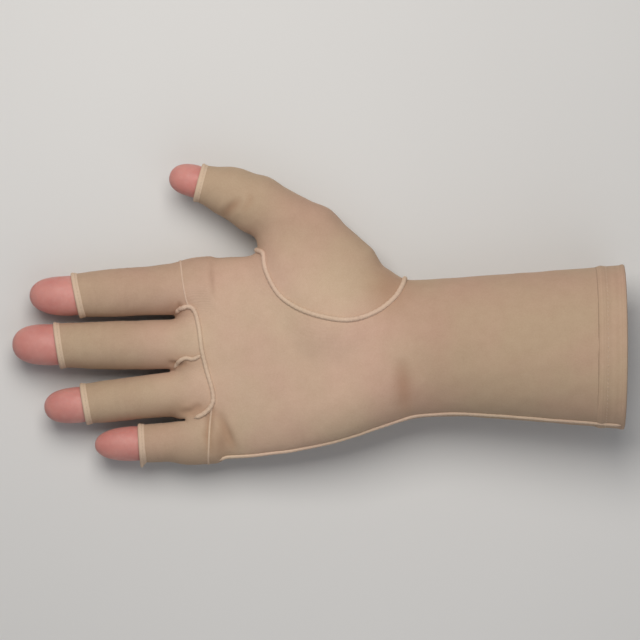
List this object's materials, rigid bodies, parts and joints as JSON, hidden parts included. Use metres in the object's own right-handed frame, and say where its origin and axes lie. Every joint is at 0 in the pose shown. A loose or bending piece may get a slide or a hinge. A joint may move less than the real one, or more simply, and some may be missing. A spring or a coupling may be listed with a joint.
{
  "type": "prosthetic hand",
  "caption": "Passive positionable right hand with bending fingers and thumb, a friction wrist and a long-cuffed open-finger fabric glove.",
  "frame": {"origin": "centre of the threaded hole at the socket plate's outer face, where the hand fastens to a forearm socket", "axes": "+X out of the cuff towards the forearm, so the fingers reach along -X; +Y thumb side; +Z palm side, so the hand lies on its back"},
  "size_m": [0.2806, 0.1371, 0.0602],
  "materials": {
    "glove_knit": "fine elastic knit, beige",
    "glove_hem": "folded and stitched knit",
    "tip_silicone": "soft satin silicone, pink",
    "hand_foam": "skin-coloured foam moulding",
    "laminate": "resin laminate",
    "plate_aluminium": "turned and anodised",
    "spindle_aluminium": "turned",
    "frame_nylon": "glass-filled nylon",
    "bearing_plastic": "acetal",
    "screw_steel": "dark plated",
    "pin_steel": "ground"
  },
  "bodies": {
    "forearm": {"socket_plate": "plate_aluminium", "plate_screws": "screw_steel", "forearm_core": "laminate", "wrist_housing": "spindle_aluminium", "friction_bush": "bearing_plastic", "thrust_washer": "bearing_plastic", "friction_screw": "screw_steel", "glove_cuff_front": "glove_knit", "glove_cuff_back": "glove_knit", "glove_cuff_hem": "glove_hem"},
    "palm": {"wrist_spindle": "spindle_aluminium", "retaining_ring": "screw_steel", "palm_frame": "frame_nylon", "frame_screws": "screw_steel", "knuckle_pins": "pin_steel", "knuckle_washers": "bearing_plastic", "thumb_pin": "pin_steel", "palm_front": "hand_foam", "palm_back": "hand_foam", "glove_palm_panel": "glove_knit", "glove_back_panel": "glove_knit"},
    "index_base": {"index_link": "frame_nylon", "index_pin": "pin_steel", "index_sheath": "hand_foam", "index_sleeve_base": "glove_knit"},
    "index_end": {"index_tip_core": "frame_nylon", "index_tip": "tip_silicone", "index_sleeve_end": "glove_knit"},
    "middle_base": {"middle_link": "frame_nylon", "middle_pin": "pin_steel", "middle_sheath": "hand_foam", "middle_sleeve_base": "glove_knit"},
    "middle_end": {"middle_tip_core": "frame_nylon", "middle_tip": "tip_silicone", "middle_sleeve_end": "glove_knit"},
    "ring_base": {"ring_link": "frame_nylon", "ring_pin": "pin_steel", "ring_sheath": "hand_foam", "ring_sleeve_base": "glove_knit"},
    "ring_end": {"ring_tip_core": "frame_nylon", "ring_tip": "tip_silicone", "ring_sleeve_end": "glove_knit"},
    "little_base": {"little_link": "frame_nylon", "little_pin": "pin_steel", "little_sheath": "hand_foam", "little_sleeve_base": "glove_knit"},
    "little_end": {"little_tip_core": "frame_nylon", "little_tip": "tip_silicone", "little_sleeve_end": "glove_knit"},
    "thumb_base": {"thumb_link": "frame_nylon", "thumb_tip_pin": "pin_steel", "thumb_pad": "hand_foam", "thumb_gusset": "glove_knit"},
    "thumb_end": {"thumb_tip_core": "frame_nylon", "thumb_tip": "tip_silicone", "thumb_sleeve_end": "glove_knit"}
  },
  "joints": [
    {"name": "wrist_rotation", "type": "hinge", "parent": "forearm", "child": "palm", "pos_m": [-0.09, 0, -0.008], "axis": [1, 0, 0], "range_deg": [-45, 45]},
    {"name": "index_knuckle", "type": "hinge", "parent": "palm", "child": "index_base", "pos_m": [-0.206, 0.0265, -0.015], "axis": [-0.061, 0.9981, 0], "range_deg": [0, 75]},
    {"name": "index_middle", "type": "hinge", "parent": "index_base", "child": "index_end", "pos_m": [-0.22996, 0.02503, -0.015], "axis": [-0.061, 0.9981, 0], "range_deg": [0, 70]},
    {"name": "middle_knuckle", "type": "hinge", "parent": "palm", "child": "middle_base", "pos_m": [-0.21, 0.001, -0.015], "axis": [0, 1, 0], "range_deg": [0, 75]},
    {"name": "middle_middle", "type": "hinge", "parent": "middle_base", "child": "middle_end", "pos_m": [-0.236, 0.001, -0.015], "axis": [0, 1, 0], "range_deg": [0, 70]},
    {"name": "ring_knuckle", "type": "hinge", "parent": "palm", "child": "ring_base", "pos_m": [-0.209, -0.0218, -0.015], "axis": [-0.1167, 0.9932, 0], "range_deg": [0, 75]},
    {"name": "ring_middle", "type": "hinge", "parent": "ring_base", "child": "ring_end", "pos_m": [-0.22986, -0.02425, -0.015], "axis": [-0.1167, 0.9932, 0], "range_deg": [0, 70]},
    {"name": "little_knuckle", "type": "hinge", "parent": "palm", "child": "little_base", "pos_m": [-0.203, -0.0434, -0.015], "axis": [-0.0506, 0.9987, 0], "range_deg": [0, 75]},
    {"name": "little_middle", "type": "hinge", "parent": "little_base", "child": "little_end", "pos_m": [-0.21598, -0.04406, -0.015], "axis": [-0.0506, 0.9987, 0], "range_deg": [0, 70]},
    {"name": "thumb_swing", "type": "hinge", "parent": "palm", "child": "thumb_base", "pos_m": [-0.131, 0.0396, -0.009], "axis": [0.9781, -0.2079, 0], "range_deg": [0, 50]},
    {"name": "thumb_tip_bend", "type": "hinge", "parent": "thumb_base", "child": "thumb_end", "pos_m": [-0.179, 0.071, -0.014], "axis": [0, 0, 1], "range_deg": [-10, 35]}
  ]
}
